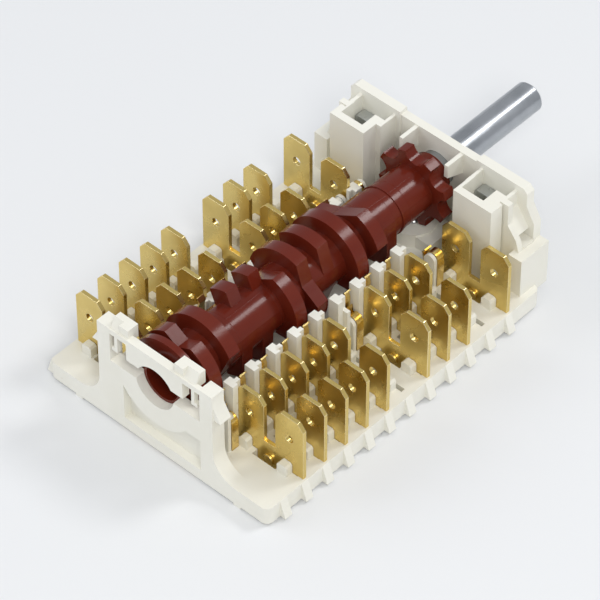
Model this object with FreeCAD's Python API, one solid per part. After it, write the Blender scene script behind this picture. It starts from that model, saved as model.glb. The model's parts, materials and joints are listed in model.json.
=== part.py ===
import FreeCAD, Part
import math
import os
from FreeCAD import Vector

# Oven selector switch: a moulded base with two rows of double tab terminals, a cam drum on a steel
# shaft between them, a contact spring at each terminal and a sprung detent pin under the star wheel.
# Sizes are in millimetres. They are given from the top of the base plate (height 0), from the first
# right-hand terminal (y 0) and from the shaft axis (x 0). The finished solids are then moved so that
# the origin is where the shaft leaves the front wall.

# Terminal stations
STATION_PITCH = 5.22
LEFT_ROW_SHIFT = -2.53
STATIONS = (0, 1, 2, 3, 4, 6, 7, 8, 10)
POST_STATIONS = range(0, 11)
EDGE_RIB_STATIONS = range(-1, 11)
LAST_PLATE_TO_WALL_FACE = 11.9
WALL_FACE_Y = STATIONS[-1] * STATION_PITCH + LAST_PLATE_TO_WALL_FACE

# Shaft
SHAFT_AXIS_Z = 11.5
SHAFT_RADIUS = 3.0
SHAFT_BEARING_RADIUS = 3.4
SHAFT_SHOULDER_REACH = 0.3
SHAFT_REACH = 23.5
SHAFT_TIP_Y = WALL_FACE_Y + SHAFT_REACH
SHAFT_INNER_LENGTH = 20.1
SHAFT_INNER_Y = WALL_FACE_Y - SHAFT_INNER_LENGTH
SHAFT_TIP_CHAMFER = 0.5
FLAT_LENGTH = 13.5
FLAT_DEPTH = 0.09
FLAT_ANGLE = 45.0
SHAFT_DRUM_CLEARANCE = 0.02
SHAFT_WALL_CLEARANCE = 0.06

# Cam drum
CORE_RADIUS = 4.75
CAM_BASE_RADIUS = 5.05
CAM_OUTER_RADIUS = 8.0
CAM_WIDTH = 2.6
STEEP_LOBE_ANGLE = 40.0
END_FLANGE_THICKNESS = 1.3
END_FLANGE_GAP = 0.7
JOURNAL_RADIUS = 4.22
JOURNAL_REACH = 0.6
JOURNAL_CLEARANCE = 0.08
SOCKET_RADIUS = 3.6
SOCKET_DEPTH = 14.0
STAR_SETBACK = 8.6
STAR_REAR_Y = WALL_FACE_Y - STAR_SETBACK
STAR_THICKNESS = 2.4
STAR_RADIUS = 7.9
STAR_VALLEY_RADIUS = 6.0
STAR_TEETH = 8
STAR_LAND_ANGLE = 13.0
STAR_TOOTH_ANGLE = 154.25
HUB_FLANGE_RADIUS = 4.6
HUB_FLANGE_LENGTH = 1.0
HUB_RADIUS = 4.1
HUB_WALL_GAP = 1.6
STEP_RING_SETBACK = 16.3
STEP_RING_Y = WALL_FACE_Y - STEP_RING_SETBACK
STEP_RING_RADIUS = 4.95
STEP_RING_WIDTH = 0.5

# Terminal plate with its two blade tabs
PLATE_THICKNESS = 0.8
TAB_WIDTH = 6.3
CAM_TO_TAB_GAP = 1.95
INNER_TAB_X = CAM_OUTER_RADIUS + CAM_TO_TAB_GAP
TAB_GAP = 2.55
OUTER_TAB_X = INNER_TAB_X + TAB_WIDTH + TAB_GAP
TAB_TOP_Z = 12.85
TAB_CHAMFER_X = 1.25
TAB_CHAMFER_Z = 1.5
TAB_HOLE_RADIUS = 0.85
TAB_HOLE_Z = 7.8
TAB_GAP_FLOOR_Z = 3.2
ROOT_INSET = 1.2
ROOT_DRAFT = 0.4
ROOT_DEPTH = 2.6
SLOT_CLEARANCE = 0.04

# Base plate
TAB_EDGE_MARGIN = 0.4
BASE_HALF_WIDTH = OUTER_TAB_X + TAB_WIDTH + TAB_EDGE_MARGIN
BASE_REAR_Y = -9.2
SILL_DEPTH = 3.25
BASE_FRONT_Y = WALL_FACE_Y - SILL_DEPTH
BASE_THICKNESS = 3.7
BASE_CORNER_RADIUS = 1.3
EDGE_RIB_WIDTH = 1.7
EDGE_RIB_REACH = 1.2
FOOT_WIDTH = 1.6
FOOT_INSET = 6.2
FOOT_LENGTH = 2.4

# Contact rivet in each terminal plate
RIVET_INSET = 7.45
RIVET_X = INNER_TAB_X + RIVET_INSET
RIVET_Z = -0.5
RIVET_HEAD_RADIUS = 1.75
RIVET_HEAD_HEIGHT = 0.5
RIVET_SHANK_RADIUS = 0.9
RIVET_TAIL_RADIUS = 1.3
RIVET_TAIL_HEIGHT = 0.35
POCKET_SIDE_ROOM = 0.9
POCKET_REACH = 1.4
TAIL_POCKET_ROOM = 0.3

# Locating posts in front of each plate, and the guide posts beside the drum
LOCATOR_DEPTH = 1.5
LOCATOR_HEIGHT = 2.3
LOCATOR_CHAMFER = 0.4
INNER_LOCATOR_INSET = 1.85
INNER_LOCATOR_WIDTH = 1.8
OUTER_LOCATOR_INSET = 1.7
OUTER_LOCATOR_WIDTH = 2.2
GUIDE_CAM_GAP = 0.2
GUIDE_INNER_X = CAM_OUTER_RADIUS + GUIDE_CAM_GAP
GUIDE_REAR = 1.25
GUIDE_FRONT = 0.4
GUIDE_TOE_WIDTH = 0.8
GUIDE_TOE_FRONT = 1.1
GUIDE_LIP_WIDTH = 0.55
GUIDE_TOP_Z = 12.8
GUIDE_TAB_GAP = 0.05
SPARE_RIB_LENGTH = 2.3
SPARE_RIB_TOP_Z = 10.4

# Contact spring: a strip bent over a hump and back up to a nose beside the cam
SPRING_THICKNESS = 0.3
SPRING_WIDTH = 1.6
SPRING_LOCATOR_GAP = 0.1
SPRING_STATION_OFFSET = -LOCATOR_DEPTH - SPRING_LOCATOR_GAP - SPRING_WIDTH / 2
SPRING_ROOT_DEPTH = 2.2
NOSE_CLEARANCE = 0.18
NOSE_TIP_X = CAM_OUTER_RADIUS + NOSE_CLEARANCE + SPRING_THICKNESS / 2
NOSE_LEG_SETBACK = 0.37
NOSE_START_Z = 9.9
NOSE_TIP_Z = 11.1
NOSE_END_Z = 11.9
NOSE_DEPTH = 0.57
HOOK_RADIUS = 0.35
HOOK_CENTRE_Z = 4.6
HUMP_RADIUS = 1.2
HUMP_CENTRE_Z = 8.3
SPRING_DOWN_X = NOSE_TIP_X + NOSE_LEG_SETBACK + 2 * HOOK_RADIUS
HUMP_X = SPRING_DOWN_X + HUMP_RADIUS
SPRING_ANCHOR_X = HUMP_X + HUMP_RADIUS
SUPPORT_SPRING_GAP = 0.15
SUPPORT_CHEEK_GAP = 0.1
SUPPORT_PLATE_GAP = 0.42

# Cam lobes: row and station of the spring that the cam works, and the first and last angle of each
# lobe in degrees, from the right-hand side (+X) towards the top (+Z)
CAMS = (
    ("right", 0, ((110, 200), (-20, 67))),
    ("left", 1, ((205, 262),)),
    ("right", 1, ((28, 200),)),
    ("left", 2, ((215, 280),)),
    ("right", 2, ((-100, -52),)),
    ("left", 3, ((98, 128),)),
    ("right", 3, ((-100, -54),)),
    ("left", 4, ((98, 128), (210, 270))),
    ("right", 4, ((-35, 73),)),
    ("left", 5, ((225, 275),)),
    ("right", 5, ((68, 167), (-40, 5))),
    ("right", 6, ((69, 137), (228, 290))),
    ("right", 7, ((-35, 190),)),
    ("left", 8, ((215, 270),)),
    ("right", 8, ((18, 71), (165, 235))),
    ("right", 9, ((-100, -50),)),
)

# Rear frame with the drum's open bearing
FRAME_DEPTH = 2.9
POST_CAM_GAP = 2.3
POST_INNER_X = CAM_OUTER_RADIUS + POST_CAM_GAP
POST_WIDTH = 2.9
POST_OUTER_X = POST_INNER_X + POST_WIDTH
POST_TOP_Z = 18.6
POST_FOOT_RADIUS = 5.0
BAR_TOP_Z = 18.5
BAR_HEIGHT = 1.1
BAR_DEPTH = 0.95
BEARING_WALL_DEPTH = 2.4
BEARING_WALL_TOP_Z = 10.9
CRESCENT_RADIUS = 8.8
RECESS_DEPTH = 1.65
RECESS_LEFT_X = -7.5
RECESS_BOTTOM_Z = -1.2
RECESS_STEP_X = 7.2
RECESS_LOW_TOP_Z = 6.0
RECESS_HIGH_TOP_Z = 7.2
ARCH_HALF_WIDTH = 6.5
ARCH_BOTTOM_Z = 13.6
ARCH_THICKNESS = 1.6
HOOK_ARM_SETBACK = 1.8
HOOK_ARM_X = POST_INNER_X - HOOK_ARM_SETBACK
HOOK_ARM_WIDTH = 0.7
HOOK_BOTTOM_Z = 13.9
RIGHT_CLIP_INNER_X = 4.35
RIGHT_CLIP_WIDTH = 4.75
LEFT_CLIP_INNER_X = 6.3
LEFT_CLIP_WIDTH = 4.1
CLIP_BLOCK_WIDTH = 2.0
CLIP_REAR_SETBACK = 0.45
CLIP_RAMP_DEPTH = 1.2
CLIP_TOP_Z = 20.35
SNAP_TOP_Z = 15.9
SNAP_BOTTOM_Z = 13.1
SNAP_REACH = 1.6
SNAP_DEPTH = 2.6

# Front wall. Its outer parts are placed from the bolt axis.
BOLT_SPACING = 28.0
BOLT_X = BOLT_SPACING / 2
BOLT_HOLE_RADIUS = 2.15
THIN_WALL_THICKNESS = 1.6
THIN_WALL_TOP_Z = 18.5
RAISED_WALL_THICKNESS = 1.9
RAISED_WALL_REAR_Y = WALL_FACE_Y - RAISED_WALL_THICKNESS
RAISED_WALL_TOP_Z = 19.3
RAISED_INNER_REACH = 5.15
RAISED_INNER_X = BOLT_X - RAISED_INNER_REACH
RAISED_OUTER_REACH = 6.4
RAISED_OUTER_X = BOLT_X + RAISED_OUTER_REACH
RAISED_CORNER = 0.9
SHOULDER_TOP_Z = 15.6
SHOULDER_LOW_Z = 12.4
SHOULDER_REACH = 8.2
SHOULDER_X = BOLT_X + SHOULDER_REACH
LEDGE_WIDTH = 2.0
LEDGE_X = SHOULDER_X + LEDGE_WIDTH
LEDGE_TOP_Z = 8.5
LEDGE_LENGTH = 7.3
WALL_BOTTOM_Z = -1.4
GUSSET_X = 4.8
GUSSET_THICKNESS = 0.8
GUSSET_LENGTH = 5.7
GUSSET_TOP_Z = 18.2
GUSSET_LOW_Z = 15.4
GUSSET_RISE = 2.0

# Nut towers behind the front wall, with distances from the bolt axis
TOWER_TOP_Z = 18.0
TOWER_LENGTH = 9.2
TOWER_REAR_Y = WALL_FACE_Y - TOWER_LENGTH
TOWER_BLOCK_LENGTH = 3.0
GROOVE_WIDTH = 0.3
PILLAR_Y = TOWER_REAR_Y + TOWER_BLOCK_LENGTH + GROOVE_WIDTH
PILLAR_THICKNESS = 1.2
RIGHT_TOWER_INNER_SIDE = 4.1
RIGHT_TOWER_OUTER_SIDE = 4.5
LEFT_TOWER_INNER_SIDE = 3.1
LEFT_TOWER_OUTER_SIDE = 4.8
TOWER_NECK_SIDE = 3.8
TOWER_WIDE_SIDE = 4.2
PILLAR_EDGE = ((5.6, 13.4), (6.0, 12.9), (7.6, 10.9), (8.4, 8.3))
SLOPE_EDGE = ((4.3, 15.0), (8.4, 9.0))
CHEEK_INNER_SIDE = 3.7
WINDOW_INNER_SIDE = 5.2
WINDOW_LOW_Z = 8.9
WINDOW_TOP_Z = 10.95
SCREW_ROOM_NEAR = 3.45
SCREW_ROOM_FAR = 1.45
SCREW_ROOM_WALL = 1.5
NUT_WIDTH = 7.0
NUT_THICKNESS = 2.2
NUT_BORE_RADIUS = 1.65
NUT_CORNER = 0.5
NUT_SIDE_CLEARANCE = 0.1
NUT_FACE_CLEARANCE = 0.05

# Detent under the star wheel
DETENT_X = -0.4
DETENT_Y = STAR_REAR_Y + STAR_THICKNESS / 2
DETENT_BOSS_RADIUS = 4.4
DETENT_BOSS_TOP_Z = 3.0
DETENT_BOSS_ROOF = 1.4
DETENT_BORE_RADIUS = 2.4
DETENT_HOLE_CLEARANCE = 0.07
DETENT_BLOCK_LEFT = 0.6
DETENT_BLOCK_RIGHT = 6.6
DETENT_BLOCK_REAR = 3.1
DETENT_BLOCK_FRONT = 3.3
DETENT_BLOCK_TOP_Z = 2.6
PIN_TIP_RADIUS = 1.4
PIN_COLLAR_RADIUS = 2.32
PIN_COLLAR_HEIGHT = 1.0
PIN_COLLAR_TOP_Z = -0.35
PIN_TIP_GAP = 0.15
COIL_WIRE_RADIUS = 0.16
COIL_TURNS = 3
COIL_END_GAP = 0.02

# Bottom cover
COVER_HALF_WIDTH = 9.0
COVER_THICKNESS = 0.5
COVER_END_MARGIN = 0.4

# How far a piece or a cut runs into or past its neighbour, where nothing else sets it
OVERRUN = 1.0

ORIGIN = Vector(0, WALL_FACE_Y, SHAFT_AXIS_Z)


def box(x0, x1, y0, y1, z0, z1):
    return Part.makeBox(x1 - x0, y1 - y0, z1 - z0, Vector(x0, y0, z0))


def cylinder_y(radius, y0, y1, x=0.0, z=SHAFT_AXIS_Z):
    return Part.makeCylinder(radius, y1 - y0, Vector(x, y0, z), Vector(0, 1, 0))


def prism(points, direction):
    return Part.Face(Part.makePolygon(points + [points[0]])).extrude(direction)


def prism_y(outline, y0, y1):
    # Carries an outline of (x, z) points from y0 to y1.
    return prism([Vector(x, y0, z) for x, z in outline], Vector(0, y1 - y0, 0))


def prism_x(outline, x0, x1):
    # Carries an outline of (y, z) points from x0 to x1.
    return prism([Vector(x0, y, z) for y, z in outline], Vector(x1 - x0, 0, 0))


def mirror_x(shape):
    return shape.mirror(Vector(0, 0, 0), Vector(1, 0, 0))


def both_sides(shape):
    return [shape, mirror_x(shape)]


def fuse(shapes):
    return shapes[0].multiFuse(shapes[1:]).removeSplitter()


def moved_y(shape, distance):
    copy = shape.copy()
    copy.translate(Vector(0, distance, 0))
    return copy


def station_y(row, station):
    shift = LEFT_ROW_SHIFT if row == "left" else 0.0
    return STATION_PITCH * station + shift


def on_row(row, station, shape):
    # Puts a shape that is drawn at the first right-hand station at its own row and station.
    sided = mirror_x(shape) if row == "left" else shape
    return moved_y(sided, station_y(row, station))


def all_places():
    return [(row, station) for row in ("left", "right") for station in STATIONS]


def on_all_rows(shape):
    return [on_row(row, station, shape) for row, station in all_places()]


def on_post_rows(shape):
    # The base is moulded for a terminal at every station, also where none is fitted.
    return [on_row(row, station, shape) for row in ("left", "right") for station in POST_STATIONS]


def polar(radius, degrees, y):
    angle = math.radians(degrees)
    return Vector(radius * math.cos(angle), y, SHAFT_AXIS_Z + radius * math.sin(angle))


def arc_about_axis(radius, first, last, y):
    middle = (first + last) / 2
    points = [polar(radius, degrees, y) for degrees in (first, middle, last)]
    return Part.Arc(*points).toShape()


def base_plate():
    plate = box(-BASE_HALF_WIDTH, BASE_HALF_WIDTH, BASE_REAR_Y, BASE_FRONT_Y, -BASE_THICKNESS, 0)
    upright = [edge for edge in plate.Edges if abs(edge.tangentAt(edge.FirstParameter).z) > 0.9]
    return plate.makeFillet(BASE_CORNER_RADIUS, upright)


def edge_rib():
    outline = [(BASE_HALF_WIDTH - OVERRUN, 0), (BASE_HALF_WIDTH, 0),
               (BASE_HALF_WIDTH + EDGE_RIB_REACH, -BASE_THICKNESS),
               (BASE_HALF_WIDTH - OVERRUN, -BASE_THICKNESS)]
    return prism_y(outline, -EDGE_RIB_WIDTH / 2, EDGE_RIB_WIDTH / 2)


def feet():
    outer = BASE_HALF_WIDTH - FOOT_INSET
    rear = box(outer - FOOT_WIDTH, outer, BASE_REAR_Y, BASE_REAR_Y + FOOT_LENGTH,
               -BASE_THICKNESS - COVER_THICKNESS, -BASE_THICKNESS)
    front = moved_y(rear, BASE_FRONT_Y - BASE_REAR_Y - FOOT_LENGTH)
    return both_sides(rear) + both_sides(front)


def locating_posts():
    pieces = []
    for start, width in ((INNER_TAB_X + INNER_LOCATOR_INSET, INNER_LOCATOR_WIDTH),
                         (OUTER_TAB_X + OUTER_LOCATOR_INSET, OUTER_LOCATOR_WIDTH)):
        end = start + width
        shoulder_z = LOCATOR_HEIGHT - LOCATOR_CHAMFER
        outline = [(start, -OVERRUN), (start, shoulder_z), (start + LOCATOR_CHAMFER, LOCATOR_HEIGHT),
                   (end - LOCATOR_CHAMFER, LOCATOR_HEIGHT), (end, shoulder_z), (end, -OVERRUN)]
        pieces.append(prism_y(outline, -LOCATOR_DEPTH, -SLOT_CLEARANCE))
    return pieces


def guide_post():
    # A post that faces the drum, with a toe beyond the plate's edge and a lip on its near face.
    end = INNER_TAB_X - GUIDE_TAB_GAP
    body = box(GUIDE_INNER_X, end, -GUIDE_REAR, GUIDE_FRONT, -OVERRUN, GUIDE_TOP_Z)
    toe = box(end - GUIDE_TOE_WIDTH, end, -GUIDE_REAR, GUIDE_TOE_FRONT, -OVERRUN, GUIDE_TOP_Z)
    lip = box(end - GUIDE_TOE_WIDTH, end + GUIDE_LIP_WIDTH, -GUIDE_REAR, -SLOT_CLEARANCE,
              -OVERRUN, GUIDE_TOP_Z)
    return fuse([body, toe, lip])


def spring_support():
    # The block inside the spring's hump, rounded on top, and its wider cheek beside the strip.
    inner = HUMP_RADIUS - SPRING_THICKNESS / 2 - SUPPORT_SPRING_GAP
    rear = -STATION_PITCH + PLATE_THICKNESS + SUPPORT_PLATE_GAP
    front = SPRING_STATION_OFFSET + SPRING_WIDTH / 2
    cheek_front = SPRING_STATION_OFFSET - SPRING_WIDTH / 2 - SUPPORT_CHEEK_GAP
    shapes = []
    for radius, end in ((inner, front), (HUMP_RADIUS, cheek_front)):
        shapes.append(box(HUMP_X - radius, HUMP_X + radius, rear, end, -OVERRUN, HUMP_CENTRE_Z))
        shapes.append(cylinder_y(radius, rear, end, HUMP_X, HUMP_CENTRE_Z))
    return fuse(shapes)


def spare_rib():
    # A station without a terminal has a short rib where the plate's edge would be.
    start = INNER_TAB_X - GUIDE_TAB_GAP - GUIDE_TOE_WIDTH
    return box(start, start + SPARE_RIB_LENGTH, 0, PLATE_THICKNESS, -OVERRUN, SPARE_RIB_TOP_Z)


def terminal_outline():
    inner_end = INNER_TAB_X + TAB_WIDTH
    outer_end = OUTER_TAB_X + TAB_WIDTH
    chamfer_z = TAB_TOP_Z - TAB_CHAMFER_Z
    outline = [(INNER_TAB_X, 0), (INNER_TAB_X, chamfer_z), (INNER_TAB_X + TAB_CHAMFER_X, TAB_TOP_Z),
               (inner_end - TAB_CHAMFER_X, TAB_TOP_Z), (inner_end, chamfer_z),
               (inner_end, TAB_GAP_FLOOR_Z), (OUTER_TAB_X, TAB_GAP_FLOOR_Z),
               (OUTER_TAB_X, chamfer_z), (OUTER_TAB_X + TAB_CHAMFER_X, TAB_TOP_Z),
               (outer_end - TAB_CHAMFER_X, TAB_TOP_Z), (outer_end, chamfer_z), (outer_end, 0),
               (outer_end - ROOT_INSET, 0), (outer_end - ROOT_INSET - ROOT_DRAFT, -ROOT_DEPTH),
               (INNER_TAB_X + ROOT_INSET + ROOT_DRAFT, -ROOT_DEPTH), (INNER_TAB_X + ROOT_INSET, 0)]
    return outline


def terminal():
    plate = prism_y(terminal_outline(), 0, PLATE_THICKNESS)
    holes = [cylinder_y(TAB_HOLE_RADIUS, -OVERRUN, PLATE_THICKNESS + OVERRUN, x + TAB_WIDTH / 2, TAB_HOLE_Z)
             for x in (INNER_TAB_X, OUTER_TAB_X)]
    rivet_hole = cylinder_y(RIVET_SHANK_RADIUS, -OVERRUN, PLATE_THICKNESS + OVERRUN, RIVET_X, RIVET_Z)
    return plate.cut(holes + [rivet_hole])


def rivet():
    head = cylinder_y(RIVET_HEAD_RADIUS, -RIVET_HEAD_HEIGHT, 0, RIVET_X, RIVET_Z)
    shank = cylinder_y(RIVET_SHANK_RADIUS, 0, PLATE_THICKNESS, RIVET_X, RIVET_Z)
    tail = cylinder_y(RIVET_TAIL_RADIUS, PLATE_THICKNESS, PLATE_THICKNESS + RIVET_TAIL_HEIGHT,
                      RIVET_X, RIVET_Z)
    return fuse([head, shank, tail])


def terminal_slot():
    # The narrow slot for the plate's root, and the pockets round the rivet's head and tail.
    start = INNER_TAB_X + ROOT_INSET - SLOT_CLEARANCE
    end = OUTER_TAB_X + TAB_WIDTH - ROOT_INSET + SLOT_CLEARANCE
    root = box(start, end, -SLOT_CLEARANCE, PLATE_THICKNESS + SLOT_CLEARANCE,
               -ROOT_DEPTH - SLOT_CLEARANCE, OVERRUN)
    head_half = RIVET_HEAD_RADIUS + POCKET_SIDE_ROOM
    head_floor = RIVET_Z - RIVET_HEAD_RADIUS - TAIL_POCKET_ROOM
    head = box(RIVET_X - head_half, RIVET_X + head_half, -POCKET_REACH, 0, head_floor, OVERRUN)
    tail_half = RIVET_TAIL_RADIUS + TAIL_POCKET_ROOM
    tail = box(RIVET_X - tail_half, RIVET_X + tail_half, PLATE_THICKNESS,
               PLATE_THICKNESS + RIVET_TAIL_HEIGHT + TAIL_POCKET_ROOM, RIVET_Z - tail_half, OVERRUN)
    return fuse([root, head, tail])


def strip(start, end):
    # A straight run of the spring strip between two (x, z) points.
    run_x, run_z = end[0] - start[0], end[1] - start[1]
    length = math.hypot(run_x, run_z)
    side_x = -run_z / length * SPRING_THICKNESS / 2
    side_z = run_x / length * SPRING_THICKNESS / 2
    outline = [(start[0] + side_x, start[1] + side_z), (end[0] + side_x, end[1] + side_z),
               (end[0] - side_x, end[1] - side_z), (start[0] - side_x, start[1] - side_z)]
    return prism_y(outline, 0, SPRING_WIDTH)


def half_ring(x, z, radius, upper):
    # A half turn of the strip about (x, z), open downwards when it is the upper half.
    ring = cylinder_y(radius + SPRING_THICKNESS / 2, 0, SPRING_WIDTH, x, z)
    ring = ring.cut(cylinder_y(radius - SPRING_THICKNESS / 2, -OVERRUN, SPRING_WIDTH + OVERRUN, x, z))
    reach = radius + SPRING_THICKNESS
    low, high = (z - reach, z) if upper else (z, z + reach)
    return ring.cut(box(x - reach, x + reach, -OVERRUN, SPRING_WIDTH + OVERRUN, low, high))


def contact_spring():
    # The strip rises from its root, turns over the hump, hooks back up and bends to a nose.
    up_x = SPRING_DOWN_X - 2 * HOOK_RADIUS
    bend = SPRING_THICKNESS / 2
    parts = [strip((SPRING_ANCHOR_X, -SPRING_ROOT_DEPTH), (SPRING_ANCHOR_X, HUMP_CENTRE_Z)),
             half_ring(HUMP_X, HUMP_CENTRE_Z, HUMP_RADIUS, True),
             strip((SPRING_DOWN_X, HUMP_CENTRE_Z), (SPRING_DOWN_X, HOOK_CENTRE_Z)),
             half_ring(SPRING_DOWN_X - HOOK_RADIUS, HOOK_CENTRE_Z, HOOK_RADIUS, False),
             strip((up_x, HOOK_CENTRE_Z), (up_x, NOSE_START_Z)),
             cylinder_y(bend, 0, SPRING_WIDTH, up_x, NOSE_START_Z),
             strip((up_x, NOSE_START_Z), (NOSE_TIP_X, NOSE_TIP_Z)),
             cylinder_y(bend, 0, SPRING_WIDTH, NOSE_TIP_X, NOSE_TIP_Z),
             strip((NOSE_TIP_X, NOSE_TIP_Z), (NOSE_TIP_X + NOSE_DEPTH, NOSE_END_Z))]
    return moved_y(fuse(parts), SPRING_STATION_OFFSET - SPRING_WIDTH / 2)


def spring_slot():
    half = SPRING_THICKNESS / 2 + SLOT_CLEARANCE
    start = SPRING_STATION_OFFSET - SPRING_WIDTH / 2 - SLOT_CLEARANCE
    return box(SPRING_ANCHOR_X - half, SPRING_ANCHOR_X + half, start,
               start + SPRING_WIDTH + 2 * SLOT_CLEARANCE, -SPRING_ROOT_DEPTH - SLOT_CLEARANCE, OVERRUN)


def cam(lobes, y0, width):
    # One cam slab: arcs at the outer radius, with flat flanks that leave the base circle at a tangent.
    # A short lobe has flanks parallel to its middle instead. Flanks that would cross before they reach
    # the base circle meet in a notch.
    tangent = math.degrees(math.acos(CAM_BASE_RADIUS / CAM_OUTER_RADIUS))
    ordered = sorted(lobes)
    leads = []
    for first, last in ordered:
        half = math.radians((last - first) / 2)
        foot = math.asin(CAM_OUTER_RADIUS * math.sin(half) / CAM_BASE_RADIUS) if half < 0.5 else 0
        steep = math.degrees(foot - half)
        leads.append(steep if last - first < STEEP_LOBE_ANGLE else tangent)
    edges = []
    for index, (first, last) in enumerate(ordered):
        beyond = (index + 1) % len(ordered)
        following = ordered[beyond][0] + (360 if beyond <= index else 0)
        edges.append(arc_about_axis(CAM_OUTER_RADIUS, first, last, y0))
        corner = polar(CAM_OUTER_RADIUS, last, y0)
        next_corner = polar(CAM_OUTER_RADIUS, following, y0)
        landing, take_off = last + leads[index], following - leads[beyond]
        if take_off > landing + 2:
            edges.append(Part.LineSegment(corner, polar(CAM_BASE_RADIUS, landing, y0)).toShape())
            edges.append(arc_about_axis(CAM_BASE_RADIUS, landing, take_off, y0))
            edges.append(Part.LineSegment(polar(CAM_BASE_RADIUS, take_off, y0), next_corner).toShape())
        else:
            half_gap = (following - last) / 2
            depth = CAM_BASE_RADIUS / math.cos(math.radians(half_gap - tangent))
            valley = polar(depth, last + half_gap, y0)
            edges.append(Part.LineSegment(corner, valley).toShape())
            edges.append(Part.LineSegment(valley, next_corner).toShape())
    return Part.Face(Part.Wire(edges)).extrude(Vector(0, width, 0))


def star_wheel():
    # Lands on the outer radius with a round valley between each pair.
    step = 360.0 / STAR_TEETH
    edges = []
    for tooth in range(STAR_TEETH):
        middle = STAR_TOOTH_ANGLE + tooth * step
        last = middle + STAR_LAND_ANGLE / 2
        following = middle + step - STAR_LAND_ANGLE / 2
        edges.append(arc_about_axis(STAR_RADIUS, middle - STAR_LAND_ANGLE / 2, last, STAR_REAR_Y))
        edges.append(Part.Arc(polar(STAR_RADIUS, last, STAR_REAR_Y),
                              polar(STAR_VALLEY_RADIUS, middle + step / 2, STAR_REAR_Y),
                              polar(STAR_RADIUS, following, STAR_REAR_Y)).toShape())
    return Part.Face(Part.Wire(edges)).extrude(Vector(0, STAR_THICKNESS, 0))


def bearing_wall_y():
    return BASE_REAR_Y + BEARING_WALL_DEPTH


def cam_drum():
    flange_y = bearing_wall_y() + END_FLANGE_GAP
    journal_y = bearing_wall_y() - JOURNAL_REACH
    star_end = STAR_REAR_Y + STAR_THICKNESS
    hub_end = WALL_FACE_Y - THIN_WALL_THICKNESS - HUB_WALL_GAP
    solids = [cylinder_y(CORE_RADIUS, flange_y, STAR_REAR_Y + OVERRUN),
              cylinder_y(CAM_OUTER_RADIUS, flange_y, flange_y + END_FLANGE_THICKNESS),
              cylinder_y(JOURNAL_RADIUS, journal_y, flange_y + END_FLANGE_THICKNESS / 2),
              cylinder_y(STEP_RING_RADIUS, STEP_RING_Y, STEP_RING_Y + STEP_RING_WIDTH),
              star_wheel(),
              cylinder_y(HUB_FLANGE_RADIUS, star_end - OVERRUN, star_end + HUB_FLANGE_LENGTH),
              cylinder_y(HUB_RADIUS, star_end - OVERRUN, hub_end)]
    cams_end = flange_y
    for row, station, lobes in CAMS:
        y0 = station_y(row, station) + SPRING_STATION_OFFSET - CAM_WIDTH / 2
        solids.append(cam(lobes, y0, CAM_WIDTH))
        cams_end = max(cams_end, y0 + CAM_WIDTH)
    solids.append(cylinder_y(CAM_BASE_RADIUS, flange_y, cams_end))
    socket = cylinder_y(SOCKET_RADIUS, journal_y - OVERRUN, journal_y + SOCKET_DEPTH)
    bore = cylinder_y(SHAFT_BEARING_RADIUS + SHAFT_DRUM_CLEARANCE, SHAFT_INNER_Y, hub_end + OVERRUN)
    return fuse(solids).cut([socket, bore])


def drive_shaft():
    # The part in the drum and the wall is a little thicker than the free end.
    shaft = cylinder_y(SHAFT_RADIUS, SHAFT_INNER_Y, SHAFT_TIP_Y)
    rims = [edge for edge in shaft.Edges
            if len(edge.Vertexes) == 1 and abs(edge.BoundBox.YMin - SHAFT_TIP_Y) < 0.001]
    shaft = shaft.makeChamfer(SHAFT_TIP_CHAMFER, rims)
    shaft = shaft.fuse(cylinder_y(SHAFT_BEARING_RADIUS, SHAFT_INNER_Y, WALL_FACE_Y + SHAFT_SHOULDER_REACH))
    cutter = box(SHAFT_RADIUS - FLAT_DEPTH, 2 * SHAFT_RADIUS, SHAFT_TIP_Y - FLAT_LENGTH,
                 SHAFT_TIP_Y + OVERRUN, SHAFT_AXIS_Z - 2 * SHAFT_RADIUS, SHAFT_AXIS_Z + 2 * SHAFT_RADIUS)
    cutter.rotate(Vector(0, 0, SHAFT_AXIS_Z), Vector(0, 1, 0), -FLAT_ANGLE)
    return shaft.cut(cutter)


def post():
    # A rear post with the round-cornered web at its outer foot and the snap nose on its outer side.
    upright = box(POST_INNER_X, POST_OUTER_X, BASE_REAR_Y, BASE_REAR_Y + FRAME_DEPTH,
                  -OVERRUN, POST_TOP_Z)
    foot = box(POST_OUTER_X - OVERRUN, POST_OUTER_X + POST_FOOT_RADIUS, BASE_REAR_Y,
               BASE_REAR_Y + FRAME_DEPTH, -OVERRUN, POST_FOOT_RADIUS)
    hollow = cylinder_y(POST_FOOT_RADIUS, BASE_REAR_Y - OVERRUN, BASE_REAR_Y + FRAME_DEPTH + OVERRUN,
                        POST_OUTER_X + POST_FOOT_RADIUS, POST_FOOT_RADIUS)
    nose = prism_y([(POST_OUTER_X - OVERRUN, SNAP_TOP_Z), (POST_OUTER_X, SNAP_TOP_Z),
                    (POST_OUTER_X + SNAP_REACH, SNAP_BOTTOM_Z), (POST_OUTER_X - OVERRUN, SNAP_BOTTOM_Z)],
                   BASE_REAR_Y + FRAME_DEPTH - SNAP_DEPTH, BASE_REAR_Y + FRAME_DEPTH)
    return [upright, foot.cut(hollow), nose]


def clip_block(inner, width):
    # A block on the bar, level on top, with a ramp down to the bar behind its outer part.
    low = BAR_TOP_Z - BAR_HEIGHT
    rear, front = BASE_REAR_Y + CLIP_REAR_SETBACK, BASE_REAR_Y + FRAME_DEPTH
    block = box(inner, inner + CLIP_BLOCK_WIDTH, rear, front, low, CLIP_TOP_Z)
    ramp = prism_x([(rear, low), (rear, BAR_TOP_Z), (rear + CLIP_RAMP_DEPTH, CLIP_TOP_Z), (front, CLIP_TOP_Z),
                    (front, low)], inner + CLIP_BLOCK_WIDTH, inner + width)
    return block.fuse(ramp)


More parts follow.
